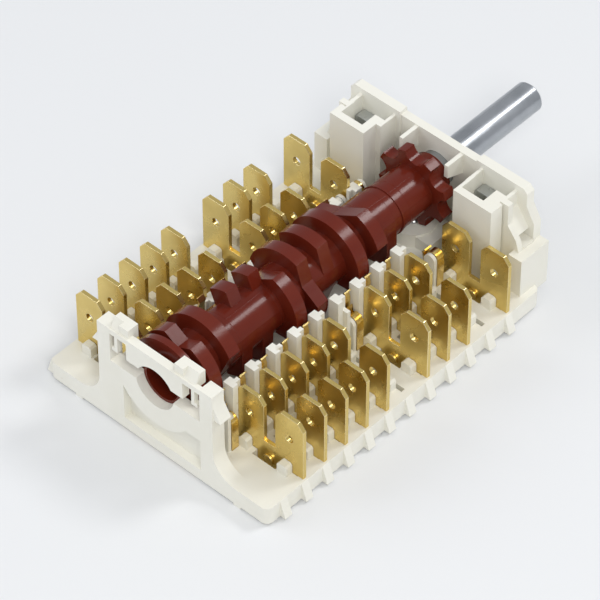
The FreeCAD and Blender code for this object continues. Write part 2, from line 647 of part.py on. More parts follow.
def hook_arm():
    arm = box(HOOK_ARM_X, HOOK_ARM_X + HOOK_ARM_WIDTH, BASE_REAR_Y, BASE_REAR_Y + BAR_DEPTH,
              HOOK_BOTTOM_Z, BAR_TOP_Z - BAR_HEIGHT / 2)
    toe = box(HOOK_ARM_X, POST_INNER_X - 0.5, BASE_REAR_Y, BASE_REAR_Y + BAR_DEPTH,
              HOOK_BOTTOM_Z, HOOK_BOTTOM_Z + HOOK_ARM_WIDTH)
    return arm.fuse(toe)


def rear_frame():
    seat_radius = JOURNAL_RADIUS + JOURNAL_CLEARANCE
    inside_post = POST_INNER_X + POST_WIDTH / 2
    wall = box(-inside_post, inside_post, BASE_REAR_Y, bearing_wall_y(), -OVERRUN, BEARING_WALL_TOP_Z)
    arch = box(-ARCH_HALF_WIDTH, ARCH_HALF_WIDTH, BASE_REAR_Y, BASE_REAR_Y + ARCH_THICKNESS,
               ARCH_BOTTOM_Z, BAR_TOP_Z)
    seat = cylinder_y(seat_radius, BASE_REAR_Y - OVERRUN, bearing_wall_y() + OVERRUN)
    bar = box(-inside_post, inside_post, BASE_REAR_Y, BASE_REAR_Y + BAR_DEPTH,
              BAR_TOP_Z - BAR_HEIGHT, BAR_TOP_Z)
    shapes = [wall.cut(seat), arch.cut(seat), bar]
    shapes += [clip_block(RIGHT_CLIP_INNER_X, RIGHT_CLIP_WIDTH),
               mirror_x(clip_block(LEFT_CLIP_INNER_X, LEFT_CLIP_WIDTH))]
    shapes += both_sides(hook_arm())
    for piece in post():
        shapes += both_sides(piece)
    return shapes


def rear_recess():
    # The shallow recess in the rear face, under a rim that is round about the bearing.
    outline = [(RECESS_LEFT_X, RECESS_BOTTOM_Z), (POST_INNER_X, RECESS_BOTTOM_Z),
               (POST_INNER_X, RECESS_LOW_TOP_Z), (RECESS_STEP_X, RECESS_LOW_TOP_Z),
               (RECESS_STEP_X, RECESS_HIGH_TOP_Z), (RECESS_LEFT_X, RECESS_HIGH_TOP_Z)]
    recess = prism_y(outline, BASE_REAR_Y - OVERRUN, BASE_REAR_Y + RECESS_DEPTH)
    return recess.cut(cylinder_y(CRESCENT_RADIUS, BASE_REAR_Y - 2 * OVERRUN, BASE_REAR_Y + FRAME_DEPTH))


def front_wall():
    thin = box(-RAISED_INNER_X - OVERRUN, RAISED_INNER_X + OVERRUN, WALL_FACE_Y - THIN_WALL_THICKNESS,
               WALL_FACE_Y, WALL_BOTTOM_Z, THIN_WALL_TOP_Z)
    outline = [(RAISED_INNER_X, WALL_BOTTOM_Z), (LEDGE_X, WALL_BOTTOM_Z),
               (LEDGE_X, LEDGE_TOP_Z), (SHOULDER_X, LEDGE_TOP_Z),
               (SHOULDER_X, SHOULDER_LOW_Z), (RAISED_OUTER_X, SHOULDER_TOP_Z),
               (RAISED_OUTER_X, RAISED_WALL_TOP_Z - RAISED_CORNER),
               (RAISED_OUTER_X - RAISED_CORNER, RAISED_WALL_TOP_Z),
               (RAISED_INNER_X, RAISED_WALL_TOP_Z)]
    side = prism_y(outline, RAISED_WALL_REAR_Y, WALL_FACE_Y)
    sill = box(-LEDGE_X, LEDGE_X, BASE_FRONT_Y - OVERRUN, WALL_FACE_Y, WALL_BOTTOM_Z, 0)
    ledge = box(SHOULDER_X - OVERRUN, LEDGE_X, WALL_FACE_Y - LEDGE_LENGTH, WALL_FACE_Y,
                -OVERRUN, LEDGE_TOP_Z)
    gusset_rear = WALL_FACE_Y - GUSSET_LENGTH
    gusset = prism_x([(WALL_FACE_Y - THIN_WALL_THICKNESS / 2, GUSSET_TOP_Z), (gusset_rear, GUSSET_TOP_Z),
                      (gusset_rear, GUSSET_LOW_Z),
                      (WALL_FACE_Y - THIN_WALL_THICKNESS / 2, GUSSET_LOW_Z - GUSSET_RISE)],
                     GUSSET_X, GUSSET_X + GUSSET_THICKNESS)
    shapes = [thin, sill]
    for piece in (side, ledge, gusset, cheek(PILLAR_EDGE, PILLAR_Y, PILLAR_Y + PILLAR_THICKNESS),
                  sloped_body()):
        shapes += both_sides(piece)
    return shapes


def cheek(edge, y0, y1):
    # A wall beside the tower, whose outer edge goes through points given from the bolt axis.
    inner = BOLT_X + CHEEK_INNER_SIDE
    top = BOLT_X + edge[0][0]
    low = BOLT_X + edge[-1][0]
    outline = [(inner, TOWER_TOP_Z), (top, TOWER_TOP_Z)]
    outline += [(BOLT_X + side, z) for side, z in edge]
    outline += [(low, -OVERRUN), (inner, -OVERRUN)]
    return prism_y(outline, y0, y1)


def sloped_body():
    start = PILLAR_Y + PILLAR_THICKNESS
    body = cheek(SLOPE_EDGE, start, WALL_FACE_Y - THIN_WALL_THICKNESS)
    window = box(BOLT_X + WINDOW_INNER_SIDE, BOLT_X + SLOPE_EDGE[-1][0] + OVERRUN, start,
                 RAISED_WALL_REAR_Y, WINDOW_LOW_Z, WINDOW_TOP_Z)
    return body.cut(window)


def nut_slot(centre):
    # The square nut drops in from above, and the room behind it takes the end of its screw.
    half = NUT_WIDTH / 2 + NUT_SIDE_CLEARANCE
    floor = SHAFT_AXIS_Z - NUT_WIDTH / 2
    slot_rear = RAISED_WALL_REAR_Y - NUT_THICKNESS - 2 * NUT_FACE_CLEARANCE
    slot = box(centre - half, centre + half, slot_rear, RAISED_WALL_REAR_Y, floor, TOWER_TOP_Z + OVERRUN)
    screw_room = box(centre - SCREW_ROOM_NEAR, centre + SCREW_ROOM_FAR, TOWER_REAR_Y + SCREW_ROOM_WALL,
                     slot_rear + NUT_FACE_CLEARANCE, floor, TOWER_TOP_Z + OVERRUN)
    return slot.fuse(screw_room)


def nut_tower(inner_side, outer_side):
    # A block at the rear, a narrow neck and a wider part that holds the nut.
    block_end = TOWER_REAR_Y + TOWER_BLOCK_LENGTH
    front = WALL_FACE_Y - THIN_WALL_THICKNESS
    block = box(BOLT_X - inner_side, BOLT_X + outer_side, TOWER_REAR_Y, block_end, -OVERRUN, TOWER_TOP_Z)
    neck = box(BOLT_X - inner_side, BOLT_X + TOWER_NECK_SIDE, TOWER_REAR_Y, PILLAR_Y, -OVERRUN, TOWER_TOP_Z)
    wide = box(BOLT_X - TOWER_WIDE_SIDE, BOLT_X + TOWER_WIDE_SIDE, PILLAR_Y, front, -OVERRUN, TOWER_TOP_Z)
    return fuse([block, neck, wide])


def nut_towers():
    return [nut_tower(RIGHT_TOWER_INNER_SIDE, RIGHT_TOWER_OUTER_SIDE),
            mirror_x(nut_tower(LEFT_TOWER_INNER_SIDE, LEFT_TOWER_OUTER_SIDE))]


def detent_boss():
    boss = Part.makeCylinder(DETENT_BOSS_RADIUS, DETENT_BOSS_TOP_Z + OVERRUN,
                             Vector(DETENT_X, DETENT_Y, -OVERRUN))
    block = box(DETENT_X - DETENT_BLOCK_LEFT, DETENT_X + DETENT_BLOCK_RIGHT, DETENT_Y - DETENT_BLOCK_REAR,
                DETENT_Y + DETENT_BLOCK_FRONT, -OVERRUN, DETENT_BLOCK_TOP_Z)
    return [boss, block]


def detent_bore():
    # A wide bore from below, with a small hole in the boss's roof for the pin's tip.
    low = -BASE_THICKNESS - OVERRUN
    wide = Part.makeCylinder(DETENT_BORE_RADIUS, DETENT_BOSS_TOP_Z - DETENT_BOSS_ROOF - low,
                             Vector(DETENT_X, DETENT_Y, low))
    narrow = Part.makeCylinder(PIN_TIP_RADIUS + DETENT_HOLE_CLEARANCE, DETENT_BOSS_TOP_Z + OVERRUN - low,
                               Vector(DETENT_X, DETENT_Y, low))
    return wide.fuse(narrow)


def base_moulding():
    shapes = [base_plate()] + detent_boss() + feet() + rear_frame() + front_wall() + nut_towers()
    for row in ("left", "right"):
        shapes += [on_row(row, station, edge_rib()) for station in EDGE_RIB_STATIONS]
        shapes += [on_row(row, station, spare_rib()) for station in POST_STATIONS if station not in STATIONS]
    for piece in locating_posts() + [guide_post(), spring_support()]:
        shapes += on_post_rows(piece)
    moulding = fuse(shapes)
    cutters = on_post_rows(terminal_slot()) + on_post_rows(spring_slot())
    cutters += [detent_bore(), rear_recess()]
    for centre in (-BOLT_X, BOLT_X):
        cutters.append(nut_slot(centre))
        cutters.append(cylinder_y(BOLT_HOLE_RADIUS, RAISED_WALL_REAR_Y - OVERRUN,
                                  WALL_FACE_Y + OVERRUN, centre))
    cutters.append(cylinder_y(SHAFT_BEARING_RADIUS + SHAFT_WALL_CLEARANCE,
                              WALL_FACE_Y - THIN_WALL_THICKNESS - OVERRUN, WALL_FACE_Y + OVERRUN))
    return moulding.cut(cutters).removeSplitter()


def captive_nuts():
    # Two square nuts with cut corners, standing in their slots.
    half = NUT_WIDTH / 2
    cut = half - NUT_CORNER
    outline = [(half, cut), (cut, half), (-cut, half), (-half, cut),
               (-half, -cut), (-cut, -half), (cut, -half), (half, -cut)]
    y0 = RAISED_WALL_REAR_Y - NUT_FACE_CLEARANCE - NUT_THICKNESS
    nuts = []
    for centre in (-BOLT_X, BOLT_X):
        points = [(centre + x, SHAFT_AXIS_Z + z) for x, z in outline]
        body = prism_y(points, y0, y0 + NUT_THICKNESS)
        nuts.append(body.cut(cylinder_y(NUT_BORE_RADIUS, y0 - 1, y0 + NUT_THICKNESS + 1, centre)))
    return Part.makeCompound(nuts)


def detent_pin():
    # A collared pin with a round tip, held down just clear of the star wheel's teeth.
    tip_z = SHAFT_AXIS_Z - STAR_RADIUS - PIN_TIP_GAP - PIN_TIP_RADIUS
    collar = Part.makeCylinder(PIN_COLLAR_RADIUS, PIN_COLLAR_HEIGHT,
                               Vector(DETENT_X, DETENT_Y, PIN_COLLAR_TOP_Z - PIN_COLLAR_HEIGHT))
    stem = Part.makeCylinder(PIN_TIP_RADIUS, tip_z - PIN_COLLAR_TOP_Z,
                             Vector(DETENT_X, DETENT_Y, PIN_COLLAR_TOP_Z))
    tip = Part.makeSphere(PIN_TIP_RADIUS, Vector(DETENT_X, DETENT_Y, tip_z))
    return fuse([collar, stem, tip])


def detent_spring():
    # A helix of six-sided wire between the bottom cover and the pin's collar.
    margin = COIL_WIRE_RADIUS + COIL_END_GAP
    low = -BASE_THICKNESS + margin
    high = PIN_COLLAR_TOP_Z - PIN_COLLAR_HEIGHT - margin
    coil_radius = PIN_COLLAR_RADIUS - 2 * COIL_WIRE_RADIUS
    path = Part.makeHelix((high - low) / COIL_TURNS, high - low, coil_radius)
    corners = []
    for corner in range(6):
        angle = math.radians(60 * corner)
        corners.append(Vector(coil_radius + COIL_WIRE_RADIUS * math.cos(angle), 0,
                              COIL_WIRE_RADIUS * math.sin(angle)))
    section = Part.makePolygon(corners + [corners[0]])
    coil = Part.Wire(path.Edges).makePipeShell([section], True, True)
    coil.translate(Vector(DETENT_X, DETENT_Y, low))
    return coil


def bottom_cover():
    return box(-COVER_HALF_WIDTH, COVER_HALF_WIDTH, BASE_REAR_Y + COVER_END_MARGIN,
               BASE_FRONT_Y - COVER_END_MARGIN, -BASE_THICKNESS - COVER_THICKNESS, -BASE_THICKNESS)


def write_node(name, shape):
    placed = shape.copy()
    placed.translate(-ORIGIN)
    placed.exportStep("parts/" + name + ".step")


def main():
    os.makedirs("parts", exist_ok=True)
    write_node("base_moulding", base_moulding())
    write_node("cam_drum", cam_drum())
    write_node("drive_shaft", drive_shaft())
    write_node("captive_nuts", captive_nuts())
    write_node("contact_rivets", Part.makeCompound(on_all_rows(rivet())))
    write_node("detent_pin", detent_pin())
    write_node("detent_spring", detent_spring())
    write_node("bottom_cover", bottom_cover())
    plate = terminal()
    spring = contact_spring()
    for row in ("left", "right"):
        for number, station in enumerate(STATIONS, 1):
            write_node("terminal_%s_%d" % (row, number), on_row(row, station, plate))
            write_node("contact_spring_%s_%d" % (row, number), on_row(row, station, spring))


main()
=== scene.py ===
import json
import math

import bmesh
import bpy
import numpy as np
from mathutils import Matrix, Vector

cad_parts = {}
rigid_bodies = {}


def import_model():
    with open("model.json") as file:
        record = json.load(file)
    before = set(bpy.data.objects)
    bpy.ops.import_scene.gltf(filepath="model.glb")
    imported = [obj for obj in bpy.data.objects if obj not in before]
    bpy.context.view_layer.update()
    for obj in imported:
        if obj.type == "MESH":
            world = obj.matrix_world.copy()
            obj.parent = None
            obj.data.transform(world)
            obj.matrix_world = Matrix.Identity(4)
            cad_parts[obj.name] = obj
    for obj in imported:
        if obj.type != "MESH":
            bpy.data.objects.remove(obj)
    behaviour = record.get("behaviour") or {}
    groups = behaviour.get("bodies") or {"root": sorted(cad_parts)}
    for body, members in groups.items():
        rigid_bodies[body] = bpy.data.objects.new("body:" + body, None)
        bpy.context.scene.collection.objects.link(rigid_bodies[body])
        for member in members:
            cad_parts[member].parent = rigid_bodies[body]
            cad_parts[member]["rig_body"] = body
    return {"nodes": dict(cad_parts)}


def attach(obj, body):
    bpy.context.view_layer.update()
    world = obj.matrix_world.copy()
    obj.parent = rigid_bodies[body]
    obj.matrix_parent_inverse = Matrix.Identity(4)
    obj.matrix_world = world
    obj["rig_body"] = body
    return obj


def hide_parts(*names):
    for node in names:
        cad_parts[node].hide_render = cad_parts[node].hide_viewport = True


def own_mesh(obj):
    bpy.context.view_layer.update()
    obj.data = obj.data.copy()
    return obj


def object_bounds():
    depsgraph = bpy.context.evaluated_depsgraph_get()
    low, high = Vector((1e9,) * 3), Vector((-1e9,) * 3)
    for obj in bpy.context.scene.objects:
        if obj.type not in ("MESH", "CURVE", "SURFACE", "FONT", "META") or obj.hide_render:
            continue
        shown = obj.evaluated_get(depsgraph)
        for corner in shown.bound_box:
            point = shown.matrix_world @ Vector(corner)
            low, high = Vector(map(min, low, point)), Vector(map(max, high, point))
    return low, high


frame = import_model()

mm = 0.001
nodes = frame["nodes"]
cadLow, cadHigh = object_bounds()
print("frame loaded:", len(nodes), "nodes")


# a socket that takes part in Python arithmetic; each operator adds one Math node
class Wire:
    def __init__(self, graph, socket):
        self.graph = graph
        self.socket = socket

    def __add__(self, other):
        return self.graph.maths("ADD", self, other)

    def __radd__(self, other):
        return self.graph.maths("ADD", other, self)

    def __sub__(self, other):
        return self.graph.maths("SUBTRACT", self, other)

    def __rsub__(self, other):
        return self.graph.maths("SUBTRACT", other, self)

    def __mul__(self, other):
        return self.graph.maths("MULTIPLY", self, other)

    def __rmul__(self, other):
        return self.graph.maths("MULTIPLY", other, self)


# one material and the nodes that feed its shader
class Graph:
    def __init__(self, name, **fixed):
        self.material = bpy.data.materials.new(name)
        self.material.use_nodes = True
        self.tree = self.material.node_tree
        self.shader = self.tree.nodes["Principled BSDF"]
        for socket, value in fixed.items():
            self.shader.inputs[socket.replace("_", " ")].default_value = value

    # a node of the given type: its settings first, then the values or links of its inputs
    def add(self, kind, settings=None, inputs=None):
        made = self.tree.nodes.new(kind)
        for name, value in (settings or {}).items():
            setattr(made, name, value)
        for name, value in (inputs or {}).items():
            self.feed(made.inputs[name], value)
        return made

    def feed(self, socket, value):
        if isinstance(value, Wire):
            self.tree.links.new(value.socket, socket)
        else:
            socket.default_value = value

    def maths(self, operation, *values):
        made = self.add("ShaderNodeMath", {"operation": operation}, dict(enumerate(values)))
        return Wire(self, made.outputs[0])

    # the place on the piece, in its Object coordinates
    def place(self):
        return Wire(self, self.add("ShaderNodeTexCoord").outputs["Object"])

    # cloudy noise on Object coordinates; a small figure in stretch draws it out along that axis
    def noise(self, scale, detail=3.0, roughness=0.5, stretch=(1, 1, 1)):
        mapping = self.add("ShaderNodeMapping", None, {"Vector": self.place(), "Scale": stretch})
        made = self.add("ShaderNodeTexNoise", None,
                        {"Vector": Wire(self, mapping.outputs[0]), "Scale": scale,
                         "Detail": detail, "Roughness": roughness})
        return Wire(self, made.outputs[0])

    # carries low..high of a value on to 0..1 and holds it there
    def mask(self, value, low, high):
        made = self.add("ShaderNodeMapRange", None,
                        {"Value": value, "From Min": low, "From Max": high, "To Min": 0.0, "To Max": 1.0})
        return Wire(self, made.outputs[0])

    def blend(self, factor, first, second):
        made = self.add("ShaderNodeMix", {"data_type": "RGBA"}, {0: factor, 6: first, 7: second})
        return Wire(self, made.outputs[2])

    def finish(self, colour, roughness, height, lift, strength):
        self.feed(self.shader.inputs["Base Color"], colour)
        self.feed(self.shader.inputs["Roughness"], roughness)
        bump = self.add("ShaderNodeBump", None, {"Height": height, "Strength": strength, "Distance": lift})
        self.feed(self.shader.inputs["Normal"], Wire(self, bump.outputs[0]))
        return self.material


def creamPlastic():
    # warm white moulding with faint clouds and a few darker specks
    look = {"body": (0.87, 0.855, 0.775, 1), "shade": (0.82, 0.80, 0.705, 1), "speck": (0.60, 0.53, 0.41, 1),
            "cloudScale": 60, "cloudSpan": (0.35, 0.7), "grainScale": 2600,
            "speckScale": 420, "speckSpan": (0.74, 0.8), "speckPart": 0.5,
            "smooth": 0.40, "rougher": 0.10, "lift": 0.02 * mm, "strength": 0.25}
    graph = Graph("creamPlastic", IOR=1.48)
    cloud = graph.mask(graph.noise(look["cloudScale"], 4), *look["cloudSpan"])
    grain = graph.noise(look["grainScale"], 2, 0.6)
    speck = graph.mask(graph.noise(look["speckScale"], 2, 0.4), *look["speckSpan"])
    colour = graph.blend(cloud, look["body"], look["shade"])
    colour = graph.blend(speck * look["speckPart"], colour, look["speck"])
    roughness = look["smooth"] + cloud * look["rougher"]
    return graph.finish(colour, roughness, grain, look["lift"], look["strength"])


def redBrownPlastic():
    # glossy, with the fine lines of its mould: some along the core and some round it
    look = {"body": (0.125, 0.014, 0.006, 1), "pale": (0.170, 0.027, 0.013, 1), "palePart": 0.55,
            "flowScale": 150, "flowSpan": (0.45, 0.75), "drawn": (1, 0.25, 1),
            "grainScale": 2200, "grainPart": 0.2,
            "smooth": 0.17, "rougher": 0.10, "lift": 0.05 * mm, "strength": 0.6}
    seams = {"core": 5.3 * mm,  # the lines stay within this radius
             "degrees": (24, 78, 128, 205, 300), "turnSpan": (0.008, 0.022),
             "stations": (-57.2, -47.4, -22.6, -18.2, -14.1), "roundSpan": (0.02 * mm, 0.09 * mm)}
    graph = Graph("redBrownPlastic", IOR=1.46, Specular_IOR_Level=0.28)
    flow = graph.mask(graph.noise(look["flowScale"], 5, 0.55, look["drawn"]), *look["flowSpan"])
    grain = graph.noise(look["grainScale"], 2)
    parts = graph.add("ShaderNodeSeparateXYZ", None, {0: graph.place()})
    x, y, z = (Wire(graph, socket) for socket in parts.outputs)
    turn = graph.maths("ARCTAN2", z, x)
    reach = graph.maths("SQRT", x * x + z * z)
    inCore = graph.maths("LESS_THAN", reach, seams["core"])
    height = grain * look["grainPart"]
    for degrees in seams["degrees"]:
        away = graph.maths("WRAP", turn - math.radians(degrees), math.pi, -math.pi)
        near = graph.maths("ABSOLUTE", away)
        height = height + (1.0 - graph.mask(near, *seams["turnSpan"])) * inCore
    for station in seams["stations"]:
        near = graph.maths("ABSOLUTE", y - station * mm)
        height = height + (1.0 - graph.mask(near, *seams["roundSpan"])) * inCore
    colour = graph.blend(flow * look["palePart"], look["body"], look["pale"])
    roughness = look["smooth"] + flow * look["rougher"]
    return graph.finish(colour, roughness, height, look["lift"], look["strength"])


def brassSheet(name, body, tarnish, smooth, dull):
    # rolled sheet: faint streaks up the tabs and a little tarnish, which is also duller
    look = {"streakScale": 900, "drawn": (1, 1, 0.08), "streakPart": 0.06,
            "cloudScale": 190, "cloudSpan": (0.42, 0.75), "tarnishPart": 0.55,
            "lift": 0.006 * mm, "strength": 0.3}
    graph = Graph(name, Metallic=1.0)
    streak = graph.noise(look["streakScale"], 4, 0.6, look["drawn"])
    cloud = graph.mask(graph.noise(look["cloudScale"], 4, 0.55), *look["cloudSpan"])
    colour = graph.blend(cloud * look["tarnishPart"], body, tarnish)
    roughness = smooth + (dull - smooth) * cloud + streak * look["streakPart"]
    return graph.finish(colour, roughness, streak, look["lift"], look["strength"])


def zincSteel(name, drawn, body, dull):
    # plated steel with the fine lines of its drawing or cutting
    look = {"lineScale": 1500, "cloudScale": 240, "cloudSpan": (0.4, 0.7), "dullPart": 0.5,
            "smooth": 0.22, "linePart": 0.16, "lift": 0.008 * mm, "strength": 0.35}
    graph = Graph(name, Metallic=1.0)
    line = graph.noise(look["lineScale"], 3, 0.6, drawn)
    cloud = graph.mask(graph.noise(look["cloudScale"], 4), *look["cloudSpan"])
    colour = graph.blend(cloud * look["dullPart"], body, dull)
    roughness = look["smooth"] + line * look["linePart"]
    return graph.finish(colour, roughness, line, look["lift"], look["strength"])


def coverSheet():
    # hard insulating sheet with its fibres along the switch
    look = {"dark": (0.46, 0.35, 0.22, 1), "light": (0.60, 0.48, 0.33, 1),
            "fibreScale": 700, "drawn": (1, 0.2, 1),
            "smooth": 0.5, "rougher": 0.1, "lift": 0.02 * mm, "strength": 0.3}
    graph = Graph("coverSheet", IOR=1.5)
    fibre = graph.noise(look["fibreScale"], 5, 0.6, look["drawn"])
    colour = graph.blend(fibre, look["dark"], look["light"])
    roughness = look["smooth"] + fibre * look["rougher"]
    return graph.finish(colour, roughness, fibre, look["lift"], look["strength"])


cream = creamPlastic()
redBrown = redBrownPlastic()
# each brass: its body, its tarnish, and the roughness of the two
tabBrass = brassSheet("tabBrass", (0.75, 0.575, 0.20, 1), (0.63, 0.465, 0.14, 1), 0.23, 0.34)
# a paler brass for the tabs' rounded edges: a painted highlight along them
edgeHighlightBrass = brassSheet("edgeHighlightBrass", (0.93, 0.79, 0.44, 1), (0.80, 0.63, 0.29, 1), 0.13, 0.22)
springBrass = brassSheet("springBrass", (0.82, 0.63, 0.26, 1), (0.70, 0.51, 0.18, 1), 0.20, 0.32)
rivetBrass = brassSheet("rivetBrass", (0.88, 0.72, 0.36, 1), (0.76, 0.58, 0.24, 1), 0.18, 0.28)
# each steel: the way its lines run, its body and its dull places
shaftSteel = zincSteel("shaftSteel", (1, 0.03, 1), (0.44, 0.46, 0.485, 1), (0.27, 0.29, 0.31, 1))
nutSteel = zincSteel("nutSteel", (1, 1, 0.2), (0.58, 0.60, 0.61, 1), (0.38, 0.40, 0.41, 1))
cover = coverSheet()
print("materials made")

# points nearer than merge become one, and faces that bend less than flat become one
joining = {"merge": 0.0005 * mm, "flat": math.radians(0.6)}
sharpAngle = {"moulding": 32, "wire": 40}  # degrees; sharper edges are shaded as edges
rounding = {"base": 0.16 * mm, "drum": 0.14 * mm, "tab": 0.11 * mm, "shaft": 0.10 * mm,
            "nut": 0.12 * mm, "rivet": 0.20 * mm, "sheet": 0.05 * mm, "spring": 0.03 * mm, "segments": 2}


def pointsOf(mesh):
    points = np.empty(3 * len(mesh.vertices))
    mesh.vertices.foreach_get("co", points)
    return points.reshape(-1, 3)


def setPoints(mesh, points):
    mesh.vertices.foreach_set("co", points.ravel())
    mesh.update()


# does the given jobs on the mesh in turn
def mend(mesh, *jobs):
    shape = bmesh.new()
    shape.from_mesh(mesh)
    for job in jobs:
        job(shape)
    shape.to_mesh(mesh)
    shape.free()


def mergeDoubles(shape):
    bmesh.ops.remove_doubles(shape, verts=shape.verts, dist=joining["merge"])


def joinFaces(shape):
    bmesh.ops.dissolve_degenerate(shape, dist=joining["merge"], edges=shape.edges)
    bmesh.ops.dissolve_limit(shape, angle_limit=joining["flat"], verts=shape.verts, edges=shape.edges)


def closeRims(shape):
    rims = [edge for edge in shape.edges if edge.is_boundary]
    bmesh.ops.holes_fill(shape, edges=rims, sides=0)


def turnFaces(shape):
    bmesh.ops.reverse_faces(shape, faces=shape.faces)


# smooth shading that breaks at the edges sharper than the angle
def shadeMesh(mesh, angle):
    def markEdges(shape):
        for face in shape.faces:
            face.smooth = True
        for edge in shape.edges:
            if len(edge.link_faces) == 2 and edge.calc_face_angle(0.0) > math.radians(angle):
                edge.smooth = False
    mend(mesh, markEdges)


# an object with rounded edges, which may have a brighter material of their own as a painted highlight
def finishPiece(name, mesh, radius, material, highlightEdgeMaterial, body):
    mesh.materials.clear()
    mesh.materials.append(material)
    mesh.materials.append(highlightEdgeMaterial or material)
    mesh.polygons.foreach_set("material_index", [0] * len(mesh.polygons))
    piece = bpy.data.objects.new(name, mesh)
    bpy.context.scene.collection.objects.link(piece)
    bevel = piece.modifiers.new("edges", "BEVEL")
    bevel.width = radius
    bevel.segments = rounding["segments"]
    bevel.limit_method = "ANGLE"
    bevel.angle_limit = math.radians(sharpAngle["moulding"])
    bevel.use_clamp_overlap = True
    bevel.harden_normals = True
    bevel.material = 1 if highlightEdgeMaterial else -1
    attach(piece, body)
    return piece


# a copy of a node's mesh with its flat faces joined and its edges rounded
def roundedNode(name, radius, material, highlightEdgeMaterial=None, reshape=None):
    source = nodes[name]
    mesh = source.data.copy()
    mend(mesh, mergeDoubles, joinFaces)
    if reshape:
        setPoints(mesh, reshape(pointsOf(mesh)))
        mend(mesh, mergeDoubles, joinFaces)
    shadeMesh(mesh, sharpAngle["moulding"])
    piece = finishPiece(name + "_rounded", mesh, radius, material, highlightEdgeMaterial, source["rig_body"])
    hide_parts(name)
    return piece


# where a row of plates stands, worked out from its first two; near is the side of the rear frame
def plateRow(side):
    first, second = (pointsOf(nodes["terminal_%s_%d" % (side, number)].data) for number in (1, 2))
    sign = 1 if side == "right" else -1
    return {"sign": sign, "edge": (first[:, 0] * sign).min(), "near": first[:, 1].min(),
            "far": first[:, 1].max(), "pitch": second[:, 1].min() - first[:, 1].min()}


rows = {side: plateRow(side) for side in ("left", "right")}

# lengths along the switch count from a plate's near face, and lengths across it from a plate's inner edge
posts = {"places": 11, "floor": -11.5 * mm, "play": 0.01 * mm,
         "guide": (-1.55 * mm, 1.11 * mm), "support": (-4.05 * mm, -1.55 * mm),
         "inward": 1.95 * mm, "outward": {"guide": 1.52 * mm, "support": 2.65 * mm},
         "frameFront": -67.2 * mm,  # what stands nearer than this belongs to the rear frame
         "raised": 5.0 * mm,  # tops and humps are the points higher than this over the floor
         "stub": 1.0 * mm, "bare": (9, 10),  # the right row's places without a guide post
         "humpDrop": 2.2 * mm, "postDrop": 3.8 * mm, "sunk": 0.4 * mm}


# True where a point of the base belongs to the guide post or the spring's support at a place of a row
def inPosts(points, row, place, part):
    low, high = posts[part]
    across = points[:, 0] * row["sign"] - row["edge"]
    along = points[:, 1] - row["near"] - row["pitch"] * place
    return ((across > -posts["inward"]) & (across < posts["outward"][part]) & (along > low) & (along < high)
            & (points[:, 1] > posts["frameFront"]) & (points[:, 2] > posts["floor"] - posts["play"]))


def inPair(points, row, place):
    return inPosts(points, row, place, "guide") | inPosts(points, row, place, "support")


def trimPosts(points):
    # the left row keeps only low stubs, since its posts stand at the far side of the plates,
    # the right row keeps stubs at its last two places, and its springs' supports are lower
    height = points[:, 2].copy()
    stub = posts["floor"] + posts["stub"]
    raised = points[:, 2] > posts["floor"] + posts["raised"]
    for place in range(posts["places"]):
        left = inPair(points, rows["left"], place)
        height[left] = np.minimum(height[left], stub)
        if place in posts["bare"]:
            guide = inPosts(points, rows["right"], place, "guide")
            height[guide] = np.minimum(height[guide], stub)
        height[raised & inPosts(points, rows["right"], place, "support")] -= posts["humpDrop"]
    return np.column_stack([points[:, :2], height])


def copyPost():
    # the points and faces of one guide post with its support, from the left row's second place
    mesh = nodes["base_moulding"].data.copy()
    mend(mesh, mergeDoubles, joinFaces)
    points = pointsOf(mesh)
    faces = [list(face.vertices) for face in mesh.polygons]
    bpy.data.meshes.remove(mesh)
    mine = inPair(points, rows["left"], 1)
    raised = points[:, 2] > posts["floor"] + posts["play"]
    faces = [face for face in faces if mine[face].all() and raised[face].any()]
    used = np.unique(np.concatenate(faces))
    return points[used], [np.searchsorted(used, face) for face in faces]


def turnedPosts():
    # y' = (near + far) - y carries the post from a plate's near side to its far side, once for each place
    row = rows["left"]
    points, faces = copyPost()
    along = points[:, 1] - row["pitch"]
    top = points[:, 2] > posts["floor"] + posts["raised"]
    points[top & (along - row["near"] < posts["support"][1]), 2] -= posts["humpDrop"]
    points[top & (along - row["near"] > posts["guide"][0]), 2] -= posts["postDrop"]
    points[points[:, 2] < posts["floor"] + posts["play"], 2] -= posts["sunk"]
    points[:, 1] = row["near"] + row["far"] - along
    places = np.arange(posts["places"])
    allPoints = np.concatenate([points + [0, row["pitch"] * place, 0] for place in places])
    allFaces = [(face[::-1] + len(points) * place).tolist() for place in places for face in faces]
    mesh = bpy.data.meshes.new("leftPosts")
    mesh.from_pydata(allPoints.tolist(), [], allFaces)
    mend(mesh, closeRims)
    shadeMesh(mesh, sharpAngle["moulding"])
    return finishPiece("leftPosts", mesh, rounding["base"], cream, None, "housing")


def smallHeads(points):
    # draws the rivets' near heads in towards their shanks: r' = keep r, with r from the rivet's axis
    head = {"keep": 0.64, "shank": 1.0 * mm, "height": 0.5 * mm, "play": 0.05 * mm}
    middle = (points[:, 2].min() + points[:, 2].max()) / 2
    for row in rows.values():
        across = points[:, 0] * row["sign"]
        axis = (across[across > 0].min() + across.max()) / 2
        along = (points[:, 1] - row["near"] + head["height"] + head["play"]) % row["pitch"]
        reach = np.hypot(across - axis, points[:, 2] - middle)
        mine = (across > 0) & (along < head["height"] + 2 * head["play"]) & (reach > head["shank"])
        points[mine, 0] = row["sign"] * (axis + (across[mine] - axis) * head["keep"])
        points[mine, 2] = middle + (points[mine, 2] - middle) * head["keep"]
    return points


